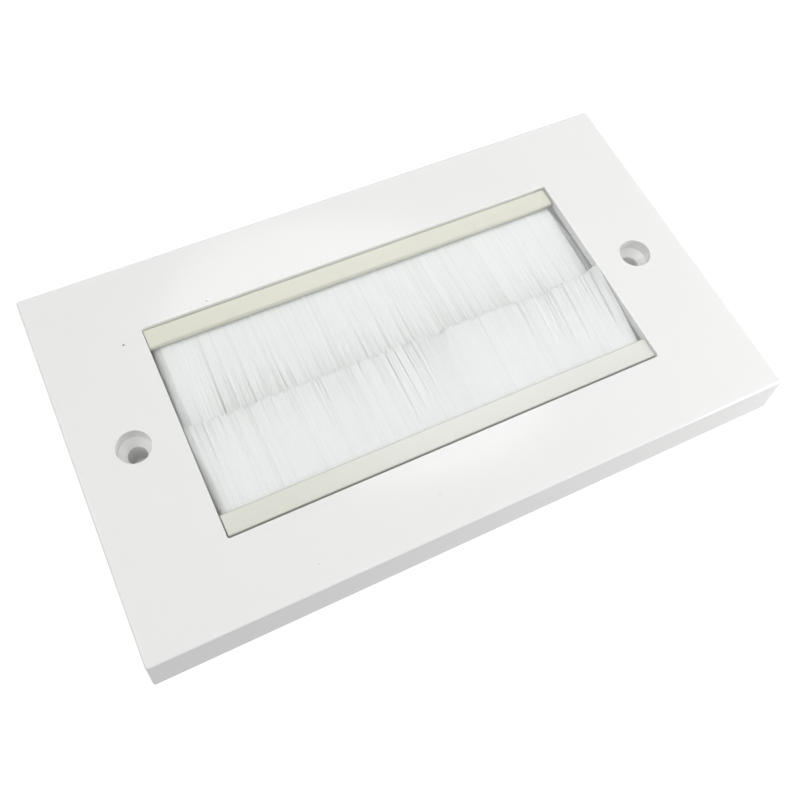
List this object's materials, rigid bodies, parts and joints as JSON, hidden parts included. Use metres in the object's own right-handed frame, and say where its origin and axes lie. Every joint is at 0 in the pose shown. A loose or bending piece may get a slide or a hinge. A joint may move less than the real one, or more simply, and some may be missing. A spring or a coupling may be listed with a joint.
{
  "type": "brush cable grommet",
  "caption": "White rectangular wall plate with a long aperture closed by facing strip brushes, for passing cables through a wall box, with a countersunk fixing hole at each end.",
  "frame": {"origin": "centre of the back rim, in the plane that meets the wall", "axes": "+X along the long side, +Y across the plate from one brush strip to the other, +Z out of the face"},
  "size_m": [0.146, 0.086, 0.011],
  "materials": {
    "white_plate": "glossy moulded white",
    "cream_holder": "satin extruded cream",
    "strip_steel": "galvanised strip",
    "white_bristle": "translucent white nylon filament"
  },
  "bodies": {
    "root": {"faceplate": "white_plate", "upper_holder": "cream_holder", "lower_holder": "cream_holder", "upper_channel": "strip_steel", "lower_channel": "strip_steel", "upper_core_wire": "strip_steel", "lower_core_wire": "strip_steel", "upper_bristles": "white_bristle", "lower_bristles": "white_bristle"}
  },
  "joints": []
}
